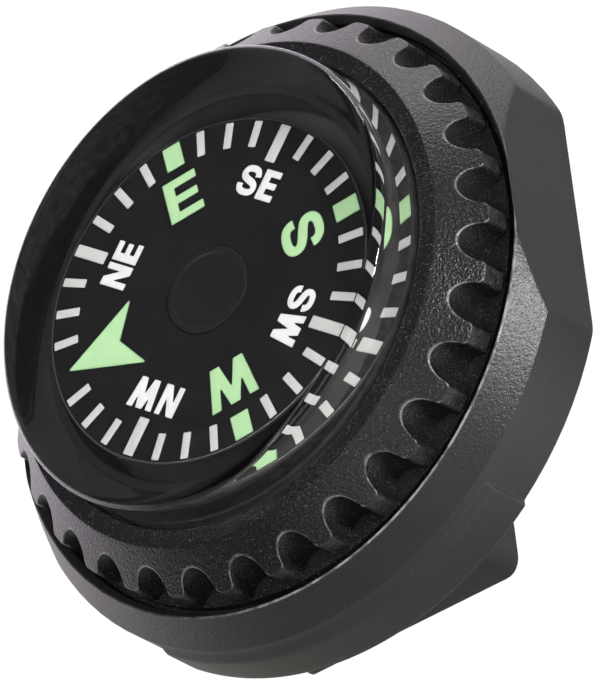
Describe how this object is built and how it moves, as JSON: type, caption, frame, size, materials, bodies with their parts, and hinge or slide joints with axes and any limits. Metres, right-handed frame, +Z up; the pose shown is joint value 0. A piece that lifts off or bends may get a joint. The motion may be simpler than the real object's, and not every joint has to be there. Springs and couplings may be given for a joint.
{
  "type": "clip-on strap compass",
  "caption": "Small liquid-filled clip-on compass: clear capsule with a floating card, scalloped turning bezel, round body with two flats, and a strap loop underneath.",
  "frame": {"origin": "centre of the strap loop's flat underside", "axes": "+Z up, out through the lens; +X along the strap, square to the two flats; +Y across the strap"},
  "size_m": [0.026, 0.0284, 0.0125],
  "materials": {
    "housing_plastic": "fine spark-eroded grain, satin",
    "loop_plastic": "fine grain, satin",
    "bezel_plastic": "leather-like moulded grain, satin",
    "black_rubber": "matt",
    "spring_steel": "bright drawn",
    "foam_pad": "matt foam",
    "capsule_black": "polished black",
    "steel": "ground",
    "clear_acrylic": "polished clear acrylic",
    "jewel": "polished synthetic ruby",
    "magnet_iron": "sintered",
    "card_black": "matt black",
    "white_print": "pad-printed ink",
    "luminous_print": "luminous paint"
  },
  "bodies": {
    "housing": {"housing": "housing_plastic", "strap_loop": "loop_plastic", "bezel_friction_ring": "black_rubber", "bezel_retaining_ring": "spring_steel", "capsule_pad": "foam_pad", "capsule_base": "capsule_black", "capsule_gasket": "black_rubber", "fill_plug": "steel", "capsule_dome": "clear_acrylic", "pivot_needle": "steel"},
    "bezel": {"bezel_ring": "bezel_plastic"},
    "pivot_jewel": {"jewel_cup": "jewel"},
    "card": {"card_hub": "card_black", "card_magnet": "magnet_iron", "card_disc": "card_black", "ticks_white": "white_print", "ticks_luminous": "luminous_print", "north_arrow": "luminous_print", "letters_white": "white_print", "letters_luminous": "luminous_print"}
  },
  "joints": [
    {"name": "bezel_spin", "type": "hinge", "parent": "housing", "child": "bezel", "pos_m": [0, 0, 0.0083], "axis": [0, 0, 1], "continuous": true},
    {"name": "card_tilt", "type": "hinge", "parent": "housing", "child": "pivot_jewel", "pos_m": [-0.0002, -0.0002, 0.0095], "axis": [-0.3665, 0.9304, 0], "range_deg": [-22, 0]},
    {"name": "card_spin", "type": "hinge", "parent": "pivot_jewel", "child": "card", "pos_m": [-0.0002, -0.0002, 0.0095], "axis": [0.1775, 0.0699, 0.9816], "continuous": true}
  ]
}
